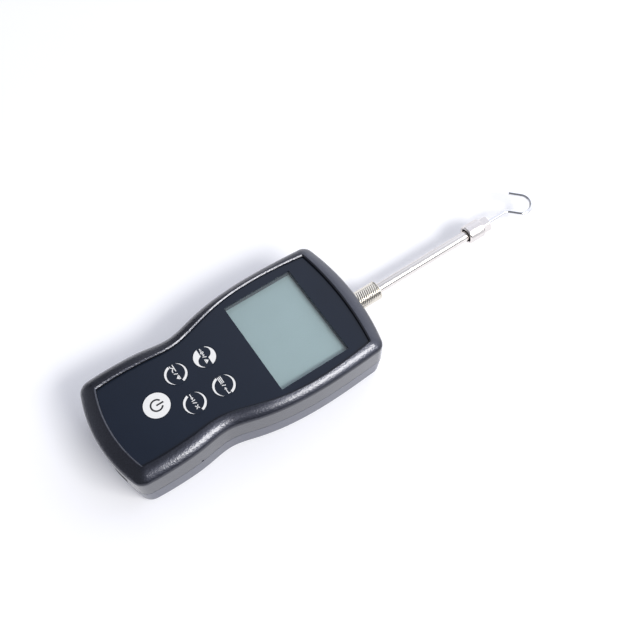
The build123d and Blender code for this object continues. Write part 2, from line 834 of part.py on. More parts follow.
def battery_lead():
    """From the first cell's cap, through the bay's notch, up to its connector."""
    x = first_battery_x
    start = battery_end_y + bay_clearance
    end_x, end_y = battery_connector_centre
    end_z = board_bottom - connector_height - bay_clearance
    return cord([
        (x, start, battery_z),
        (x - 1.5, start + 2.6, battery_z + 3.0),
        (end_x + 1.5, end_y, battery_z + 7.0),
        (end_x, end_y, end_z),
    ])


def load_cell_lead():
    """From a strain gauge, up out of the beam's window, across to its connector."""
    gauge_face = cell_centre_y + cell_window_length / 2 - gauge_thickness
    gauge_face -= bay_clearance + cord_radius
    end_x, end_y = cell_connector_centre
    end_x += connector_width / 2 + bay_clearance
    level = (cell_top + board_bottom) / 2
    return cord([
        (-gauge_offset, gauge_face, axis_height),
        (-gauge_offset, gauge_face - 1.7, axis_height + 3.6),
        (-gauge_offset - 3.0, gauge_face - 2.2, cell_top + 1.4),
        (end_x + 7.5, end_y - 1.5, level),
        (end_x, end_y, level),
    ])


# ---------------------------------------------------------------- extension rod and hook
def rod_collar():
    """A knurled sleeve, open at both ends: threaded for the shaft's stud, bored for the rod."""
    outer = collar_diameter / 2
    thread_bore = stud_diameter / 2 + thread_clearance
    rod_bore = rod_diameter / 2 + thread_clearance
    thread_end = collar_start_y + collar_thread_depth
    return turned([
        (thread_bore, collar_start_y),
        (outer - collar_chamfer, collar_start_y),
        (outer, collar_start_y + collar_chamfer),
        (outer, collar_end_y - collar_chamfer),
        (outer - collar_chamfer, collar_end_y),
        (rod_bore, collar_end_y),
        (rod_bore, thread_end),
        (thread_bore, thread_end),
    ])


def extension_rod():
    radius = rod_diameter / 2
    stud = rod_stud_diameter / 2
    start = collar_end_y - rod_seat
    return turned([
        (0, start),
        (radius, start),
        (radius, rod_end_y),
        (stud, rod_end_y),
        (stud, rod_end_y + rod_stud_length),
        (0, rod_end_y + rod_stud_length),
    ])


def hook_coupler():
    """A knurled drum with a hexagonal nose, countersunk where the rod enters."""
    radius = coupler_diameter / 2
    drum_end = coupler_drum_end_y
    drum = turned([
        (0, coupler_start_y),
        (radius - coupler_chamfer, coupler_start_y),
        (radius, coupler_start_y + coupler_chamfer),
        (radius, drum_end - coupler_chamfer),
        (radius - coupler_chamfer, drum_end),
        (0, drum_end),
    ])
    nose_plane = Plane(origin=(0, drum_end, axis_height), x_dir=(1, 0, 0), z_dir=(0, 1, 0))
    hexagon = RegularPolygon(coupler_hex_across_flats / 2, 6, major_radius=False)
    nose = extrude(nose_plane * hexagon, amount=coupler_hex_length)
    corner_radius = coupler_hex_across_flats / sqrt(3)
    rounding = turned([
        (0, drum_end),
        (corner_radius, drum_end),
        (corner_radius, coupler_end_y - coupler_chamfer),
        (corner_radius - 2 * coupler_chamfer, coupler_end_y),
        (0, coupler_end_y),
    ])
    coupler = drum + (nose & rounding)
    rod_bore = rod_diameter / 2 + thread_clearance
    stud_bore = rod_stud_diameter / 2 + thread_clearance
    thread_end = coupler_start_y + coupler_thread_depth
    mouth = coupler_countersink_diameter / 2
    coupler -= turned([
        (0, coupler_start_y),
        (mouth, coupler_start_y),
        (rod_bore, coupler_start_y + coupler_countersink_depth),
        (rod_bore, rod_end_y + thread_clearance),
        (stud_bore, rod_end_y + thread_clearance),
        (stud_bore, thread_end),
        (0, thread_end),
    ])
    return coupler - axial(wire_diameter / 2 + thread_clearance, coupler_end_y - wire_seat, coupler_end_y)


def hook():
    """Bent wire: a shank on the axis, a lean outwards, a loop around the axis and a straight tip."""
    lean = hook_lean
    shank_end = coupler_end_y + hook_shank_length
    start = Vector(0, coupler_end_y - wire_seat)
    bend_start = Vector(0, shank_end)
    bend_centre = Vector(hook_bend_radius, shank_end)
    bend = CenterArc(bend_centre, hook_bend_radius, 180, -lean)
    lean_direction = Vector(0, 1).rotate(Axis.Z, -lean)
    inward = Vector(-1, 0).rotate(Axis.Z, -lean)
    bend_end = bend @ 1
    reach = (hook_loop_offset + hook_loop_radius * -inward.X - bend_end.X) / lean_direction.X
    loop_start = bend_end + lean_direction * reach
    loop_centre = loop_start + inward * hook_loop_radius
    loop = CenterArc(loop_centre, hook_loop_radius, -lean, 180)
    tip = Line(loop @ 1, loop @ 1 - lean_direction * hook_tip_length)
    path = Wire([Line(start, bend_start), bend, Line(bend_end, loop_start), loop, tip])
    section = Plane(origin=(start.X, start.Y, 0), z_dir=(0, 1, 0)) * Circle(wire_diameter / 2)
    return Pos(0, 0, axis_height) * sweep(section, path=path)


# ---------------------------------------------------------------- write every node
save("front_cover", front_cover())
save("back_cover", back_cover())
save("front_overlay", overlay())
save("window_lens", window_lens())
for node, (x, y, diameter) in keys.items():
    save(node, key(x, y, diameter))
save_group("key_switches", [key_switch(x, y) for x, y, diameter in keys.values()])
save("lcd_bezel", lcd_bezel())
save("lcd_glass", lcd_glass())
save("lcd_backlight", lcd_backlight())
save_group("lcd_contact_strips", contact_strips())
save("main_board", main_board())
save_group("board_chips", [chip(*sizes) for sizes in board_chip_sizes])
save_group("board_connectors", [connector(cell_connector_centre), connector(battery_connector_centre)])
save("buzzer", buzzer())
save("dc_jack", dc_jack())
save("data_socket", data_socket())
board_screw = (board_screw_radius, board_screw_length, board_screw_head_radius, board_screw_head_height)
save_group("board_screws", [up_screw(x, y, board_bottom, *board_screw) for x, y in board_screws_at])
save("load_cell", load_cell())
save_group("strain_gauges", strain_gauges())
save("load_cell_bracket", load_cell_bracket())
save_group("load_cell_screws", [cell_screw(x) for x in (-cell_screw_x, cell_screw_x)])
save("overload_stop", overload_stop())
save_group("bracket_screws", [
    down_screw(x, y, pad_top + bracket_plate) for x, y in bracket_screws_at + stop_screws_at
])
save("measuring_shaft", measuring_shaft())
save("shaft_seal", shaft_seal())
save_group("battery_cells", battery_cells())
save("battery_strap", battery_strap())
save("battery_lead", battery_lead())
save("load_cell_lead", load_cell_lead())
save_group("strap_screws", [
    down_screw(x, y, strap_seat + strap_thickness) for x, y in strap_screws_at
])
case_screw = (case_screw_radius, case_screw_length, case_head_radius, case_head_height)
save_group("case_screws", [up_screw(x, y, case_head_seat, *case_screw) for x, y in case_screws_at])
save_group("mount_inserts", [mount_insert(x, y) for x, y in inserts_at])
save("rod_collar", rod_collar())
save("extension_rod", extension_rod())
save("hook_coupler", hook_coupler())
save("hook", hook())
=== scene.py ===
from math import asin, cos, degrees, hypot, pi, radians, sin

import bmesh
import bpy
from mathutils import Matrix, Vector


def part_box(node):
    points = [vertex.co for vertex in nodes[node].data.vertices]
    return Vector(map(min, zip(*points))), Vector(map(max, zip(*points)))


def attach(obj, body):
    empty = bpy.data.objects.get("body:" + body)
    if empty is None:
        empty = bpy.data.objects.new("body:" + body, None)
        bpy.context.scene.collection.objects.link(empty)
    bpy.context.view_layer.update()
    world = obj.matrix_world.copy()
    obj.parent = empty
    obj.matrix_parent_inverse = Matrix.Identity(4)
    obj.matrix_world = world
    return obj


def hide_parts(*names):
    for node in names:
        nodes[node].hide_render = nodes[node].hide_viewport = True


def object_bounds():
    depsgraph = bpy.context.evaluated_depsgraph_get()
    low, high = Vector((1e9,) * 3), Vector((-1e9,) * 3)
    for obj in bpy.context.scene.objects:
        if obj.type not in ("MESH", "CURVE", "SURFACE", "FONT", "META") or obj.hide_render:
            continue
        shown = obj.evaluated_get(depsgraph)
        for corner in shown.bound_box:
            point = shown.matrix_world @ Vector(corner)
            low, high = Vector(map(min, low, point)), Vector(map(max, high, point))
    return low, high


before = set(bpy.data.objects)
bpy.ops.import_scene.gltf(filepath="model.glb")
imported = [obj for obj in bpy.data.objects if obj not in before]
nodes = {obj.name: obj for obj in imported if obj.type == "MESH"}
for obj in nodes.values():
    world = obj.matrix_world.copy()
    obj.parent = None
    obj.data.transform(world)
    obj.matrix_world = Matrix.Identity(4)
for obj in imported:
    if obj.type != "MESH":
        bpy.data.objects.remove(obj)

cad_low, cad_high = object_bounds()
mm = 0.001

# ---------------------------------------------------------------- places taken from the frame
panel_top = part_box("front_overlay")[1].z
rod_low, rod_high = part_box("extension_rod")
axis_x = (rod_low.x + rod_high.x) / 2
axis_z = (rod_low.z + rod_high.z) / 2
rod_radius = (rod_high.z - rod_low.z) / 2
collar_low, collar_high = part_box("rod_collar")
coupler_low, coupler_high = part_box("hook_coupler")


def centre_of(node):
    low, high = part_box(node)
    return (low + high) / 2


# ---------------------------------------------------------------- driving dimensions
# Printed keys
print_thickness = 0.03 * mm
ring_radius = 6.1 * mm
ring_weight = 1.35 * mm
ring_band_edge = 1.6 * mm
ring_tip_angle = 152.0
ring_steps = 40
fat_inner_radius = 3.5 * mm
fat_inner_offset = (-2.15 * mm, 0.95 * mm)
icon_stroke = 0.46 * mm
power_disc_radius = 7.15 * mm
power_ring_radius = 3.15 * mm
power_stroke = 0.90 * mm
power_gap_angle = 31.0
power_bar = (-0.2 * mm, 3.9 * mm)

# Knurls
collar_knurl_pitch = 1.25 * mm
collar_knurl_depth = 0.44 * mm
collar_knurl_starts = 7
collar_cross_share = 0.25
collar_plain_band = 0.7 * mm
collar_fade = 0.2 * mm
collar_chamfer = 0.6 * mm
sharp_edge = radians(28.0)
coupler_teeth = 64
coupler_knurl_depth = 0.07 * mm
coupler_corner_land = 0.10 * mm
coupler_knurl_length = 10.7 * mm
coupler_hex_flat = 4.4 * mm
coupler_chamfer = 0.5 * mm
coupler_mouth_radius = 4.3 * mm
coupler_mouth_depth = 2.0 * mm
coupler_mouth_lip = 0.35 * mm

# Rod and hook wire, the same values as in the part's source
rod_chamfer = 0.1 * mm
rod_stud_radius = 2.45 * mm
rod_stud_length = 6.5 * mm
wire_radius = 1.2 * mm
wire_seat = 5.0 * mm
hook_shank_length = 13.1 * mm
hook_bend_radius = 5.0 * mm
hook_loop_radius = 6.8 * mm
hook_loop_offset = 0.6 * mm
hook_lean = 45.0
hook_tip_length = 7.4 * mm

# Display gasket, measured inwards from the lens's edge
gasket_outer = 1.28 * mm
gasket_inner = 2.35 * mm
gasket_clearance = 0.03 * mm

# Light
key_direction = (0.66, 0.27, 0.70)
key_distance = 2.4
key_core = (1.2, 0.56, 43.0)
key_halo = (1.7, 1.5, 9.0)
key_colour = (1.0, 0.985, 0.96)
floor_glow = 0.25
light_aim = (0.0, 0.04, 0.02)
# Brightness of the room by the y of a direction, and what the left adds by its x
room_levels = [
    (-1.0, 0.28), (-0.50, 0.28), (-0.08, 0.13),
    (0.28, 0.64), (0.55, 1.10), (0.80, 1.60),
]
left_wall_levels = [(-0.25, 0.0), (-0.55, 0.20), (-0.75, 0.20), (-0.96, -0.05)]
# The low right of the room is dark: z plus this share of x, where it ends, and what is left there
dark_side_slope = -0.45
dark_side_edge = 0.30
dark_side_level = 0.30
room_tint = (0.93, 0.96, 1.07)

# Camera: the photograph's place, in degrees and metres about a point on the panel.
camera_target = Vector((6.38, 53.3, 32.2)) * mm
camera_azimuth = 55.70
camera_elevation = 62.48
camera_distance = 474.6 * mm
camera_lens = 49.36
camera_sensor = 36.0

# ---------------------------------------------------------------- node material helpers
def new_material(name):
    material = bpy.data.materials.new(name)
    material.use_nodes = True
    tree = material.node_tree
    return material, tree, tree.nodes["Principled BSDF"]


def noise(tree, scale, detail=2.0, roughness=0.5, stretch=(1.0, 1.0, 1.0)):
    """Noise in object space, whose units are metres."""
    place = tree.nodes.new("ShaderNodeTexCoord")
    mapping = tree.nodes.new("ShaderNodeMapping")
    mapping.inputs["Scale"].default_value = stretch
    texture = tree.nodes.new("ShaderNodeTexNoise")
    texture.inputs["Scale"].default_value = scale
    texture.inputs["Detail"].default_value = detail
    texture.inputs["Roughness"].default_value = roughness
    tree.links.new(place.outputs["Object"], mapping.inputs["Vector"])
    tree.links.new(mapping.outputs["Vector"], texture.inputs["Vector"])
    return texture.outputs["Fac"]


def spread(tree, value, low, high):
    """The value, from 0 to 1, mapped to run from low to high."""
    node = tree.nodes.new("ShaderNodeMapRange")
    node.inputs["To Min"].default_value = low
    node.inputs["To Max"].default_value = high
    tree.links.new(value, node.inputs["Value"])
    return node.outputs["Result"]


def two_colours(tree, value, dark, light, start=0.3, end=0.7):
    ramp = tree.nodes.new("ShaderNodeValToRGB")
    ramp.color_ramp.elements[0].position = start
    ramp.color_ramp.elements[0].color = (*dark, 1.0)
    ramp.color_ramp.elements[1].position = end
    ramp.color_ramp.elements[1].color = (*light, 1.0)
    tree.links.new(value, ramp.inputs["Fac"])
    return ramp.outputs["Color"]


def bump(tree, shader, value, strength, distance):
    node = tree.nodes.new("ShaderNodeBump")
    node.inputs["Strength"].default_value = strength
    node.inputs["Distance"].default_value = distance
    tree.links.new(value, node.inputs["Height"])
    tree.links.new(node.outputs["Normal"], shader.inputs["Normal"])


def surface(name, colour, roughness, metallic=0.0, variation=0.1, rough_variation=0.05,
            scale=900.0, bump_scale=2500.0, bump_strength=0.0, bump_distance=0.02 * mm,
            stretch=(1.0, 1.0, 1.0)):
    """A plain finish with colour and roughness that drift, and an optional fine bump."""
    material, tree, shader = new_material(name)
    drift = noise(tree, scale, stretch=stretch)
    dark = tuple(channel * (1.0 - variation) for channel in colour)
    light = tuple(min(channel * (1.0 + variation), 1.0) for channel in colour)
    tree.links.new(two_colours(tree, drift, dark, light), shader.inputs["Base Color"])
    rough = spread(tree, drift, roughness - rough_variation, roughness + rough_variation)
    tree.links.new(rough, shader.inputs["Roughness"])
    shader.inputs["Metallic"].default_value = metallic
    if bump_strength:
        grain = noise(tree, bump_scale, detail=1.0, stretch=stretch)
        bump(tree, shader, grain, bump_strength, bump_distance)
    return material


# ---------------------------------------------------------------- materials
def case_paint(name, colour, coat=1.0):
    """Dark grey metallic paint under a satin clear coat, over a finely textured moulding."""
    paint = surface(name, colour, 0.42, metallic=1.0, variation=0.16, rough_variation=0.04,
                    scale=1500.0, bump_scale=1100.0, bump_strength=1.0, bump_distance=0.10 * mm)
    tree = paint.node_tree
    shader = tree.nodes["Principled BSDF"]
    shader.inputs["Coat Weight"].default_value = coat
    shader.inputs["Coat Roughness"].default_value = 0.175
    tree.links.new(shader.inputs["Normal"].links[0].from_socket, shader.inputs["Coat Normal"])
    return paint


def overlay_film():
    return surface("overlay_film", (0.0050, 0.0100, 0.0220), 0.24, variation=0.05, rough_variation=0.02,
                   scale=60.0, bump_scale=5000.0, bump_strength=0.05, bump_distance=0.01 * mm)


def white_print():
    return surface("white_print", (0.78, 0.78, 0.77), 0.42, variation=0.02, rough_variation=0.03,
                   scale=2500.0)


def clear_lens():
    """Clear acrylic: what is behind shows straight through, under a thin reflection."""
    material, tree, shader = new_material("clear_lens")
    shader.inputs["Base Color"].default_value = (1.0, 1.0, 1.0, 1.0)
    shader.inputs["Metallic"].default_value = 1.0
    haze = noise(tree, 40.0)
    tree.links.new(spread(tree, haze, 0.03, 0.06), shader.inputs["Roughness"])
    clear = tree.nodes.new("ShaderNodeBsdfTransparent")
    clear.inputs["Color"].default_value = (0.95, 0.965, 0.96, 1.0)
    facing = tree.nodes.new("ShaderNodeLayerWeight")
    steep = tree.nodes.new("ShaderNodeMath")
    steep.operation = "POWER"
    steep.inputs[1].default_value = 5.0
    tree.links.new(facing.outputs["Facing"], steep.inputs[0])
    gloss = spread(tree, steep.outputs["Value"], 0.04, 0.9)
    mix = tree.nodes.new("ShaderNodeMixShader")
    output = tree.nodes["Material Output"]
    tree.links.new(gloss, mix.inputs["Fac"])
    tree.links.new(clear.outputs["BSDF"], mix.inputs[1])
    tree.links.new(shader.outputs["BSDF"], mix.inputs[2])
    tree.links.new(mix.outputs["Shader"], output.inputs["Surface"])
    return material


def lcd_face():
    """A reflective display that is switched off, grey-green."""
    return surface("lcd_face", (0.36, 0.455, 0.475), 0.30, variation=0.03, rough_variation=0.04,
                   scale=30.0, bump_scale=6000.0, bump_strength=0.04, bump_distance=0.01 * mm)


def turned_metal(name, colour, roughness, marks=0.02):
    """Polished or turned metal: fine marks run around the measuring axis."""
    return surface(name, colour, roughness, metallic=1.0, variation=0.03,
                   rough_variation=marks, scale=350.0, bump_scale=350.0, bump_strength=marks,
                   bump_distance=0.01 * mm, stretch=(1.0, 14.0, 1.0))


finishes = {
    "case_paint": case_paint("case_paint", (0.034, 0.037, 0.052)),
    # The back shell is painted bluer and lighter than the front, as a painted reflection of bluish
    # floor light on its walls.
    "case_paint_back": case_paint("case_paint_back", (0.044, 0.054, 0.098), coat=0.65),
    "overlay_film": overlay_film(),
    "white_print": white_print(),
    "power_symbol_ink": surface("power_symbol_ink", (0.012, 0.013, 0.016), 0.4, variation=0.1),
    "clear_lens": clear_lens(),
    "lcd_face": lcd_face(),
    "grey_gasket": surface("grey_gasket", (0.075, 0.088, 0.105), 0.6, variation=0.04, scale=900.0),
    "rod_nickel": turned_metal("rod_nickel", (0.82, 0.785, 0.745), 0.18),
    "collar_nickel": surface("collar_nickel", (0.82, 0.78, 0.69), 0.20, metallic=1.0, variation=0.06,
                             scale=1600.0, bump_scale=2500.0, bump_strength=0.15),
    "coupler_nickel": surface("coupler_nickel", (0.80, 0.76, 0.73), 0.16, metallic=1.0,
                              variation=0.04, rough_variation=0.03, scale=1600.0),
    "hook_chrome": turned_metal("hook_chrome", (0.82, 0.82, 0.83), 0.06),
    "shaft_steel": turned_metal("shaft_steel", (0.62, 0.61, 0.60), 0.22),
    "sheet_steel": surface("sheet_steel", (0.62, 0.63, 0.65), 0.3, metallic=1.0, scale=400.0,
                           stretch=(1.0, 8.0, 1.0), bump_strength=0.1, bump_scale=900.0),
    "zinc_steel": surface("zinc_steel", (0.55, 0.56, 0.58), 0.34, metallic=1.0, scale=1200.0,
                          bump_strength=0.15),
    "black_steel": surface("black_steel", (0.035, 0.035, 0.037), 0.38, metallic=0.8, scale=1200.0,
                           bump_strength=0.2),
    "machined_aluminium": surface("machined_aluminium", (0.76, 0.77, 0.79), 0.32, metallic=1.0,
                                  scale=500.0, stretch=(1.0, 10.0, 1.0), bump_strength=0.15,
                                  bump_scale=700.0),
    "brass": surface("brass", (0.70, 0.50, 0.22), 0.28, metallic=1.0, scale=900.0,
                     bump_strength=0.1),
    "black_plastic": surface("black_plastic", (0.018, 0.018, 0.019), 0.5, scale=1400.0,
                             bump_strength=0.3),
    "white_plastic": surface("white_plastic", (0.72, 0.70, 0.62), 0.45, scale=1400.0,
                             bump_strength=0.15),
    "clear_acrylic": surface("clear_acrylic", (0.78, 0.80, 0.80), 0.2, scale=300.0),
    "board_green": surface("board_green", (0.012, 0.11, 0.045), 0.35, variation=0.25, scale=700.0,
                           bump_strength=0.2, bump_scale=1200.0),
    "black_rubber": surface("black_rubber", (0.015, 0.015, 0.015), 0.62, scale=1800.0,
                            bump_strength=0.3),
    "contact_rubber": surface("contact_rubber", (0.45, 0.22, 0.26), 0.6, scale=1500.0,
                              stretch=(6.0, 1.0, 1.0)),
    "gauge_film": surface("gauge_film", (0.45, 0.22, 0.04), 0.3, variation=0.3, scale=2600.0,
                          stretch=(1.0, 1.0, 4.0)),
    "battery_sleeve": surface("battery_sleeve", (0.03, 0.16, 0.07), 0.3, scale=200.0),
    "lead_pvc": surface("lead_pvc", (0.30, 0.02, 0.02), 0.42, scale=900.0, bump_strength=0.1),
}

node_finish = {
    "front_cover": "case_paint",
    "back_cover": "case_paint_back",
    "front_overlay": "overlay_film",
    "window_lens": "clear_lens",
    "up_key": "overlay_film",
    "down_key": "overlay_film",
    "enter_key": "overlay_film",
    "exit_key": "overlay_film",
    "power_key": "overlay_film",
    "key_switches": "black_plastic",
    "lcd_bezel": "sheet_steel",
    "lcd_glass": "lcd_face",
    "lcd_backlight": "clear_acrylic",
    "lcd_contact_strips": "contact_rubber",
    "main_board": "board_green",
    "board_chips": "black_plastic",
    "board_connectors": "white_plastic",
    "buzzer": "black_plastic",
    "dc_jack": "black_plastic",
    "data_socket": "sheet_steel",
    "board_screws": "zinc_steel",
    "load_cell": "machined_aluminium",
    "strain_gauges": "gauge_film",
    "load_cell_bracket": "machined_aluminium",
    "load_cell_screws": "black_steel",
    "overload_stop": "machined_aluminium",
    "bracket_screws": "zinc_steel",
    "measuring_shaft": "shaft_steel",
    "shaft_seal": "black_rubber",
    "battery_cells": "battery_sleeve",
    "battery_strap": "black_plastic",
    "battery_lead": "lead_pvc",
    "load_cell_lead": "lead_pvc",
    "strap_screws": "zinc_steel",
    "case_screws": "black_steel",
    "mount_inserts": "brass",
    "rod_collar": "collar_nickel",
    "extension_rod": "rod_nickel",
    "hook_coupler": "coupler_nickel",
    "hook": "hook_chrome",
}
for node, finish in node_finish.items():
    nodes[node].data.materials.clear()
    nodes[node].data.materials.append(finishes[finish])


# ---------------------------------------------------------------- mesh helpers
def add_mesh(name, points, faces, finish, smooth=False):
    mesh = bpy.data.meshes.new(name)
    mesh.from_pydata([tuple(point) for point in points], [], faces)
    tidy = bmesh.new()
    tidy.from_mesh(mesh)
    bmesh.ops.recalc_face_normals(tidy, faces=tidy.faces)
    tidy.to_mesh(mesh)
    tidy.free()
    mesh.materials.append(finishes[finish])
    if smooth:
        mesh.shade_smooth()
    piece = bpy.data.objects.new(name, mesh)
    bpy.context.scene.collection.objects.link(piece)
    return piece


def strip_solid(left, right, low, high, closed=False):
    """Points and faces of a thin solid between two matching edges, from z low to z high."""
    count = len(left)
    points = []
    for x, y in left + right:
        points += [(x, y, low), (x, y, high)]
    faces = []
    for index in range(count if closed else count - 1):
        after = (index + 1) % count
        a, b = 2 * index, 2 * after
        c, d = 2 * (count + index), 2 * (count + after)
        faces += [(a, b, d, c), (a + 1, c + 1, d + 1, b + 1)]
        faces += [(a, a + 1, b + 1, b), (c, d, d + 1, c + 1)]
    if not closed:
        last = count - 1
        for end in (0, last):
            a, c = 2 * end, 2 * (count + end)
            faces.append((a, c, c + 1, a + 1))
    return points, faces


def polygon_solid(outline, low, high):
    """Points and faces of a thin solid with this outline, from z low to z high."""
    count = len(outline)
    points = [(x, y, low) for x, y in outline] + [(x, y, high) for x, y in outline]
    faces = [tuple(range(count)), tuple(range(2 * count - 1, count - 1, -1))]
    for index in range(count):
        after = (index + 1) % count
        faces.append((index, after, count + after, count + index))
    return points, faces


def joined(solids):
    points, faces = [], []
    for more_points, more_faces in solids:
        start = len(points)
        points += more_points
        faces += [tuple(start + index for index in face) for face in more_faces]
    return points, faces


def arc_points(centre, radius, start, end, steps):
    """Points along an arc, angles in degrees."""
    angles = [radians(start + (end - start) * step / steps) for step in range(steps + 1)]
    return [(centre[0] + radius * cos(angle), centre[1] + radius * sin(angle)) for angle in angles]


def stroke_edges(path, width):
    """Left and right edges of a stroke along an open path, with mitred corners."""
    left, right = [], []
    last = len(path) - 1
    for index, (x, y) in enumerate(path):
        before = path[max(index - 1, 0)]
        after = path[min(index + 1, last)]
        arrive = Vector((x - before[0], y - before[1]))
        leave = Vector((after[0] - x, after[1] - y))
        if index == 0:
            arrive = leave
        if index == last:
            leave = arrive
        across = (arrive.normalized() + leave.normalized()).normalized()
        widen = max(across.dot(arrive.normalized()), 0.3)
        side = Vector((-across.y, across.x)) * width / 2 / widen
        left.append((x + side.x, y + side.y))
        right.append((x - side.x, y - side.y))
    return left, right


def moved(points, x, y):
    return [(x + px, y + py) for px, py in points]


def turned(points, degrees_round):
    c, s = cos(radians(degrees_round)), sin(radians(degrees_round))
    return [(x * c - y * s, x * s + y * c) for x, y in points]


# ---------------------------------------------------------------- printed keys
print_low = panel_top - print_thickness / 3
print_high = panel_top + print_thickness


def thin_crescent(turn):
    """One arc of a key's ring, heavy at its start and thin at its tip."""
    start = degrees(asin(ring_band_edge / ring_radius))
    outer, inner = [], []
    for step in range(ring_steps + 1):
        share = step / ring_steps
        angle = radians(start + (ring_tip_angle - start) * share + turn)
        weight = max(ring_weight * (1 - share**2), print_thickness)
        outer.append((ring_radius * cos(angle), ring_radius * sin(angle)))
        inner.append(((ring_radius - weight) * cos(angle), (ring_radius - weight) * sin(angle)))
    return outer, inner


def fat_crescent(turn):
    """A fuller arc, cut by a smaller circle that is off centre."""
    start = degrees(asin(ring_band_edge / ring_radius))
    outer, inner = [], []
    centre_x, centre_y = fat_inner_offset
    first = degrees(asin((ring_band_edge - centre_y) / fat_inner_radius))
    tip_x = ring_radius * cos(radians(ring_tip_angle)) - centre_x
    tip_y = ring_radius * sin(radians(ring_tip_angle)) - centre_y
    last = degrees(pi) - degrees(asin(tip_y / hypot(tip_x, tip_y)))
    limit = ring_radius - print_thickness
    for step in range(ring_steps + 1):
        share = step / ring_steps
        angle = radians(start + (ring_tip_angle - start) * share)
        outer.append((ring_radius * cos(angle), ring_radius * sin(angle)))
        angle = radians(first + (last - first) * share)
        point = Vector((
            centre_x + fat_inner_radius * cos(angle),
            centre_y + fat_inner_radius * sin(angle),
        ))
        if point.length > limit:
            point = point.normalized() * limit
        inner.append(tuple(point))
    return turned(outer, turn), turned(inner, turn)


def stroke(*path):
    return "stroke", [(x * mm, y * mm) for x, y in path]


def filled(*outline):
    return "filled", [(x * mm, y * mm) for x, y in outline]


def ring(x, y, radius_x, radius_y):
    return "ring", (x * mm, y * mm, radius_x * mm, radius_y * mm)


slash = stroke((-0.45, -0.95), (0.45, 0.95))
# Tare (arrows closing on a zero) and up.
up_icons = [
    stroke((-5.6, 0), (-4.4, 0)), filled((-4.6, 0.65), (-3.7, 0), (-4.6, -0.65)),
    ring(-2.85, 0, 0.5, 0.75),
    filled((-1.1, 0.65), (-2.0, 0), (-1.1, -0.65)), stroke((-1.3, 0), (-0.7, 0)),
    slash,
    filled((1.3, -0.45), (3.9, -0.45), (2.6, 0.95)), stroke((1.3, -0.85), (3.9, -0.85)),
]
# Peak (a crest under a limit line) and down.
down_icons = [
    stroke((-5.7, 0.85), (-1.3, 0.85)),
    stroke((-5.6, -0.85), (-4.6, -0.85), (-3.5, 0.35), (-2.4, -0.85), (-1.2, -0.85)),
    slash,
    filled((1.3, 0.45), (2.6, -0.95), (3.9, 0.45)), stroke((1.3, 0.85), (3.9, 0.85)),
]
# Menu (three lines) and enter (a returning arrow).
enter_icons = [
    stroke((-5.6, 0.8), (-1.3, 0.8)), stroke((-5.6, 0), (-1.3, 0)), stroke((-5.6, -0.8), (-1.3, -0.8)),
    slash,
    stroke((5.2, 0.95), (5.2, -0.25), (2.2, -0.25)), filled((1.2, -0.25), (2.4, 0.5), (2.4, -1.0)),
]
# Send (an arrow to a line) and exit (a cross).
exit_icons = [
    stroke((-5.6, 0), (-3.0, 0)), filled((-3.3, 0.8), (-2.0, 0), (-3.3, -0.8)),
    stroke((-1.5, 0.95), (-1.5, -0.95)),
    slash,
    stroke((1.6, 0.85), (3.6, -0.85)), stroke((1.6, -0.85), (3.6, 0.85)),
]


def icon_solids(icons, x, y):
    solids = []
    for kind, shape in icons:
        if kind == "stroke":
            left, right = stroke_edges(moved(shape, x, y), icon_stroke)
            solids.append(strip_solid(left, right, print_low, print_high))
        elif kind == "filled":
            solids.append(polygon_solid(moved(shape, x, y), print_low, print_high))
        else:
            ring_x, ring_y, radius_x, radius_y = shape
            steps = 24
            outer, inner = [], []
            for step in range(steps):
                angle = 2 * pi * step / steps
                for edge, grow in ((outer, icon_stroke / 2), (inner, -icon_stroke / 2)):
                    edge.append((
                        x + ring_x + (radius_x + grow) * cos(angle),
                        y + ring_y + (radius_y + grow) * sin(angle),
                    ))
            solids.append(strip_solid(outer, inner, print_low, print_high, closed=True))
    return solids


def key_print(node, icons, crescent):
    centre = centre_of(node)
    solids = icon_solids(icons, centre.x, centre.y)
    for turn in (0.0, 180.0):
        outer, inner = crescent(turn)
        outer, inner = moved(outer, centre.x, centre.y), moved(inner, centre.x, centre.y)
        solids.append(strip_solid(outer, inner, print_low, print_high))
    piece = add_mesh(node + "_print", *joined(solids), "white_print")
    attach(piece, node)


key_print("up_key", up_icons, fat_crescent)
key_print("down_key", down_icons, thin_crescent)
key_print("enter_key", enter_icons, thin_crescent)
key_print("exit_key", exit_icons, thin_crescent)


def power_print():
    """A white disc with the standard stand-by symbol, an open ring and a bar."""
    centre = centre_of("power_key")
    outline = arc_points((centre.x, centre.y), power_disc_radius, 0.0, 360.0, 96)[:-1]
    disc = add_mesh("power_disc_print", *polygon_solid(outline, print_low, print_high), "white_print")
    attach(disc, "power_key")
    low, high = print_high - print_thickness / 3, print_high + print_thickness
    middle = (centre.x, centre.y)
    path = arc_points(middle, power_ring_radius, 90 + power_gap_angle, 450 - power_gap_angle, 60)
    left, right = stroke_edges(path, power_stroke)
    solids = [strip_solid(left, right, low, high)]
    bar = [(centre.x, centre.y + end) for end in power_bar]
    left, right = stroke_edges(bar, power_stroke)
    solids.append(strip_solid(left, right, low, high))
    symbol = add_mesh("power_symbol_print", *joined(solids), "power_symbol_ink")
    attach(symbol, "power_key")


power_print()


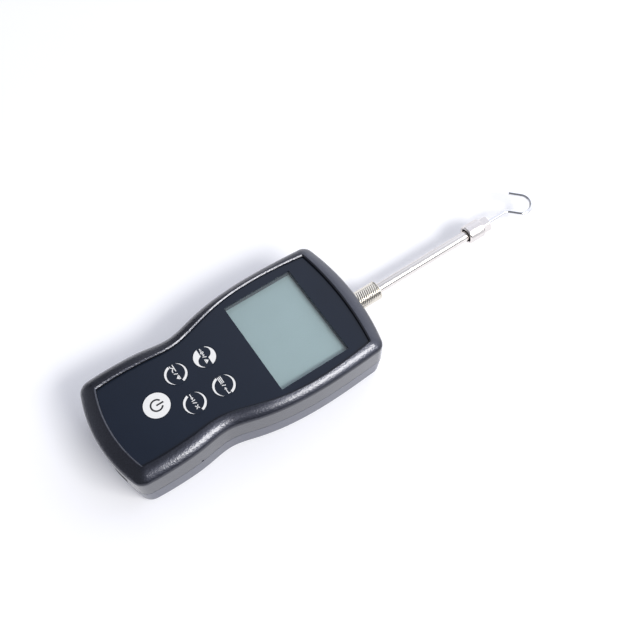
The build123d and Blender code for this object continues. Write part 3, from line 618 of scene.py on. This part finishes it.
# ---------------------------------------------------------------- display gasket
def window_gasket():
    """A sloping grey gasket round the display, seen through the lens past the panel's edge."""
    lens_low, lens_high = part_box("window_lens")
    glass_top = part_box("lcd_glass")[1].z
    centre = (lens_low + lens_high) / 2
    half = (lens_high - lens_low) / 2
    low, high = glass_top + gasket_clearance, lens_low.z - gasket_clearance
    points = []
    for inset, z in ((gasket_outer, low), (gasket_outer, high), (gasket_inner, low)):
        reach_x, reach_y = half.x - inset, half.y - inset
        for side_x, side_y in ((-1, -1), (1, -1), (1, 1), (-1, 1)):
            points.append((centre.x + side_x * reach_x, centre.y + side_y * reach_y, z))
    faces = []
    for first, second in ((0, 4), (4, 8), (8, 0)):
        for corner in range(4):
            after = (corner + 1) % 4
            faces.append((first + corner, first + after, second + after, second + corner))
    piece = add_mesh("window_gasket", points, faces, "grey_gasket")
    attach(piece, "case")


window_gasket()


# ---------------------------------------------------------------- turned and knurled metal
def around_axis(rings, samples, finish, name, open_ends=False):
    """A skin around the measuring axis from rings of (y, radius at an angle)."""
    points, faces = [], []
    for y, radius_at in rings:
        for sample in range(samples):
            angle = 2 * pi * sample / samples
            radius = radius_at(angle)
            points.append((axis_x + radius * sin(angle), y, axis_z + radius * cos(angle)))
    for ring_index in range(len(rings) - 1):
        for sample in range(samples):
            after = (sample + 1) % samples
            a, b = ring_index * samples + sample, ring_index * samples + after
            faces.append((a, b, b + samples, a + samples))
    if not open_ends:
        faces.append(tuple(range(samples)))
        end = (len(rings) - 1) * samples
        faces.append(tuple(range(end, end + samples)))
    piece = add_mesh(name, points, faces, finish, smooth=True)
    piece.data.set_sharp_from_angle(angle=sharp_edge)
    return piece


def round_ring(radius):
    return lambda angle: radius


def triangle_wave(turns):
    """0 at whole turns, 1 half way between them."""
    return 1 - abs(turns % 1.0 - 0.5) * 2


def knurled_collar():
    """Helical ribs, lightly crossed by a second set, with a plain band at each end."""
    outer = (collar_high.x - collar_low.x) / 2
    length = collar_high.y - collar_low.y
    samples = 168
    steps = round(length / (collar_knurl_pitch / 8))
    bore = rod_radius * 1.02

    def knurl_ring(y):
        along = (y - collar_low.y) / collar_knurl_pitch
        from_end = min(y - collar_low.y, collar_high.y - y)
        fade = min(max((from_end - collar_plain_band) / collar_fade, 0.0), 1.0)

        def radius_at(angle):
            around = angle * collar_knurl_starts / (2 * pi)
            crossing = collar_cross_share * triangle_wave(along - around)
            crests = max(triangle_wave(along + around), crossing)
            return outer - collar_knurl_depth * (1 - crests) * fade
        return radius_at

    end_ring = round_ring(outer - collar_chamfer)
    rings = [(collar_low.y, round_ring(bore)), (collar_low.y, end_ring)]
    for step in range(steps + 1):
        y = collar_low.y + collar_chamfer + (length - 2 * collar_chamfer) * step / steps
        rings.append((y, knurl_ring(y)))
    rings += [(collar_high.y, end_ring), (collar_high.y, round_ring(bore))]
    piece = around_axis(rings, samples, "collar_nickel", "knurled_collar")
    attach(piece, "extension")
    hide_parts("rod_collar")


knurled_collar()


def knurled_coupler():
    """A drum with a fine straight knurl and a hexagonal nose, countersunk where the rod enters; a thin
    black skin in the mouth is painted shade.
    """
    outer = (coupler_high.x - coupler_low.x) / 2
    drum_end = coupler_low.y + coupler_knurl_length
    samples = coupler_teeth * 6
    knurl_low = coupler_low.y + coupler_chamfer
    knurl_high = drum_end - coupler_chamfer
    fade = 0.4 * mm

    def teeth(angle):
        return outer - coupler_knurl_depth * (1 - triangle_wave(angle * coupler_teeth / (2 * pi)))

    def hex_ring(limit):
        def radius_at(angle):
            from_flat = (angle + pi / 6) % (pi / 3) - pi / 6
            return min(coupler_hex_flat / cos(from_flat), limit)
        return radius_at

    bore = rod_radius * 1.03
    corner = coupler_hex_flat / cos(pi / 6) - coupler_corner_land
    rings = [
        (coupler_low.y + coupler_mouth_depth, round_ring(bore)),
        (coupler_low.y, round_ring(coupler_mouth_radius)),
        (coupler_low.y, round_ring(outer - coupler_chamfer)),
        (knurl_low, round_ring(outer - coupler_knurl_depth / 2)),
        (knurl_low + fade, round_ring(outer - coupler_knurl_depth / 2)),
        (knurl_low + fade * 1.5, teeth),
        (knurl_high - fade * 1.5, teeth),
        (knurl_high - fade, round_ring(outer - coupler_knurl_depth / 2)),
        (knurl_high, round_ring(outer - coupler_knurl_depth / 2)),
        (drum_end, round_ring(outer - coupler_chamfer)),
        (drum_end, hex_ring(corner)),
        (coupler_high.y - coupler_chamfer, hex_ring(corner)),
        (coupler_high.y, hex_ring(corner - 2 * coupler_chamfer)),
    ]
    piece = around_axis(rings, samples, "coupler_nickel", "knurled_coupler")
    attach(piece, "hook_end")
    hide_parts("hook_coupler")
    # A thin black skin over the countersunk mouth: painted shade in the recess round the rod.
    skin = 0.03 * mm
    deep = coupler_low.y + coupler_mouth_depth
    lip = coupler_low.y + coupler_mouth_lip
    lip_radius = coupler_mouth_radius - coupler_mouth_lip
    mouth = [
        (deep - skin, round_ring(bore)),
        (deep - skin, round_ring(bore + skin)),
        (lip, round_ring(lip_radius)),
        (lip - skin, round_ring(lip_radius - skin)),
        (deep - 2 * skin, round_ring(bore)),
        (deep - skin, round_ring(bore)),
    ]
    mouth_shade_skin = around_axis(mouth, 96, "black_steel", "coupler_mouth_painted_shade", open_ends=True)
    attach(mouth_shade_skin, "hook_end")


knurled_coupler()


def plain_rod():
    """The rod with a small chamfer at each end, and its threaded stud as a plain cylinder."""
    stud_start = rod_high.y - rod_stud_length
    rings = [
        (rod_low.y, round_ring(rod_radius - rod_chamfer)),
        (rod_low.y + rod_chamfer, round_ring(rod_radius)),
    ]
    steps = 40
    for step in range(1, steps + 1):
        y = rod_low.y + rod_chamfer + (stud_start - rod_low.y - 2 * rod_chamfer) * step / steps
        rings.append((y, round_ring(rod_radius)))
    rings += [
        (stud_start, round_ring(rod_radius - rod_chamfer)),
        (stud_start, round_ring(rod_stud_radius)),
        (rod_high.y, round_ring(rod_stud_radius)),
    ]
    piece = around_axis(rings, 96, "rod_nickel", "plain_rod")
    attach(piece, "extension")
    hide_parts("extension_rod")


plain_rod()


def hook_path():
    """Points and directions, in the plane of the axis, along the wire from its seat to its tip."""
    def along(start, direction, length, spacing=0.5 * mm):
        steps = max(round(length / spacing), 1)
        return [(start + direction * (length * step / steps), direction) for step in range(steps + 1)]

    def around(centre, radius, first, last, turn_sign, spacing=2.0):
        steps = round(abs(last - first) / spacing)
        places = []
        for step in range(steps + 1):
            angle = radians(first + (last - first) * step / steps)
            outward = Vector((cos(angle), sin(angle)))
            places.append((centre + outward * radius, Vector((-outward.y, outward.x)) * turn_sign))
        return places

    seat = Vector((0.0, coupler_high.y - wire_seat))
    shank_end = Vector((0.0, coupler_high.y + hook_shank_length))
    lean = radians(hook_lean)
    leaning = Vector((sin(lean), cos(lean)))
    inward = Vector((-cos(lean), sin(lean)))
    bend_centre = shank_end + Vector((hook_bend_radius, 0.0))
    bend = around(bend_centre, hook_bend_radius, 180.0, 180.0 - hook_lean, -1.0)
    bend_end = bend[-1][0]
    reach = (hook_loop_offset - hook_loop_radius * inward.x - bend_end.x) / leaning.x
    loop_start = bend_end + leaning * reach
    loop_centre = loop_start + inward * hook_loop_radius
    loop = around(loop_centre, hook_loop_radius, -hook_lean, 180.0 - hook_lean, 1.0)
    runs = [
        along(seat, Vector((0.0, 1.0)), shank_end.y - seat.y),
        bend,
        along(bend_end, leaning, reach),
        loop,
        along(loop[-1][0], -leaning, hook_tip_length),
    ]
    places = runs[0]
    for run in runs[1:]:
        places = places + run[1:]
    return places


def wire_hook():
    places = hook_path()
    first, last = places[0], places[-1]
    chamfer = 0.15 * mm
    sections = [(*first, wire_radius)]
    sections += [(place, direction, wire_radius) for place, direction in places[1:-1]]
    sections += [(last[0] - last[1] * chamfer, last[1], wire_radius), (*last, wire_radius - chamfer)]
    samples = 32
    points, faces = [], []
    for place, direction, radius in sections:
        side = Vector((direction.y, -direction.x))
        for sample in range(samples):
            angle = 2 * pi * sample / samples
            across, up = radius * cos(angle), radius * sin(angle)
            points.append((axis_x + place.x + side.x * across, place.y + side.y * across, axis_z + up))
    for section in range(len(sections) - 1):
        for sample in range(samples):
            after = (sample + 1) % samples
            a, b = section * samples + sample, section * samples + after
            faces.append((a, b, b + samples, a + samples))
    faces.append(tuple(range(samples)))
    end = (len(sections) - 1) * samples
    faces.append(tuple(range(end, end + samples)))
    piece = add_mesh("wire_hook", points, faces, "hook_chrome", smooth=True)
    piece.data.set_sharp_from_angle(angle=sharp_edge)
    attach(piece, "hook_end")
    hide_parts("hook")


wire_hook()


# ---------------------------------------------------------------- stage, light and camera
def floor():
    material, tree, shader = new_material("floor_white")
    shader.inputs["Base Color"].default_value = (0.74, 0.74, 0.75, 1.0)
    shader.inputs["Roughness"].default_value = 0.9
    shader.inputs["Specular IOR Level"].default_value = 0.2
    shader.inputs["Emission Color"].default_value = (0.98, 0.99, 1.08, 1.0)
    shader.inputs["Emission Strength"].default_value = floor_glow
    bpy.ops.mesh.primitive_plane_add(size=8.0, location=(0.0, 0.0, cad_low.z - 0.02 * mm))
    plane = bpy.context.object
    plane.name = "floor"
    plane.data.materials.append(material)


def softbox(name, direction, distance, size, power, colour=(1.0, 1.0, 1.0)):
    """A rectangular area light that faces the object from a direction."""
    data = bpy.data.lights.new(name, "AREA")
    data.shape = "RECTANGLE"
    data.size, data.size_y = size
    data.energy = power
    data.color = colour
    light = bpy.data.objects.new(name, data)
    aim = Vector(direction).normalized()
    light.location = Vector(light_aim) + aim * distance
    light.rotation_mode = "QUATERNION"
    light.rotation_quaternion = aim.to_track_quat("Z", "Y")
    bpy.context.scene.collection.objects.link(light)


def room_light():
    """A pale room: bright beyond the hook end, lit on the left, dim overhead and low on the right."""
    world = bpy.data.worlds.new("studio")
    bpy.context.scene.world = world
    world.use_nodes = True
    tree = world.node_tree

    def shift(value, low, high, start, end):
        node = tree.nodes.new("ShaderNodeMapRange")
        node.interpolation_type = "SMOOTHSTEP"
        numbers = {"From Min": low, "From Max": high, "To Min": start, "To Max": end}
        for socket, number in numbers.items():
            node.inputs[socket].default_value = number
        tree.links.new(value, node.inputs["Value"])
        return node.outputs["Result"]

    def combine(operation, first, second, third=None):
        node = tree.nodes.new("ShaderNodeMath")
        node.operation = operation
        for socket, value in zip(node.inputs, (first, second, third)):
            if isinstance(value, float):
                socket.default_value = value
            elif value is not None:
                tree.links.new(value, socket)
        return node.outputs["Value"]

    place = tree.nodes.new("ShaderNodeTexCoord")
    parts = tree.nodes.new("ShaderNodeSeparateXYZ")
    tree.links.new(place.outputs["Generated"], parts.inputs["Vector"])
    x, y, z = (parts.outputs[axis] for axis in "XYZ")
    level = combine("MULTIPLY", 1.0, room_levels[0][1])
    for (low, first), (high, last) in zip(room_levels, room_levels[1:]):
        level = combine("ADD", level, shift(y, low, high, 0.0, last - first))
    for (low, first), (high, last) in zip(left_wall_levels, left_wall_levels[1:]):
        level = combine("ADD", level, shift(x, low, high, 0.0, last - first))
    lean = combine("MULTIPLY_ADD", x, dark_side_slope, z)
    above = shift(lean, -dark_side_edge, dark_side_edge, dark_side_level, 1.0)
    level = combine("MULTIPLY", level, above)
    background = tree.nodes["Background"]
    background.inputs["Color"].default_value = (*room_tint, 1.0)
    tree.links.new(level, background.inputs["Strength"])


def studio():
    floor()
    for name, (width, height, power) in (("key_core", key_core), ("key_halo", key_halo)):
        softbox(name, key_direction, key_distance, (width, height), power, key_colour)
    room_light()
    view = bpy.context.scene.view_settings
    view.view_transform = "Standard"
    view.look = "None"


def camera():
    azimuth, elevation = radians(camera_azimuth), radians(camera_elevation)
    away = Vector((sin(azimuth) * cos(elevation), -cos(azimuth) * cos(elevation), sin(elevation)))
    data = bpy.data.cameras.new("camera")
    data.lens = camera_lens
    data.sensor_width = camera_sensor
    data.clip_start = 0.01
    viewer = bpy.data.objects.new("camera", data)
    viewer.location = camera_target + away * camera_distance
    viewer.rotation_mode = "QUATERNION"
    viewer.rotation_quaternion = (-away).to_track_quat("-Z", "Y")
    bpy.context.scene.collection.objects.link(viewer)
    bpy.context.scene.camera = viewer


studio()
camera()
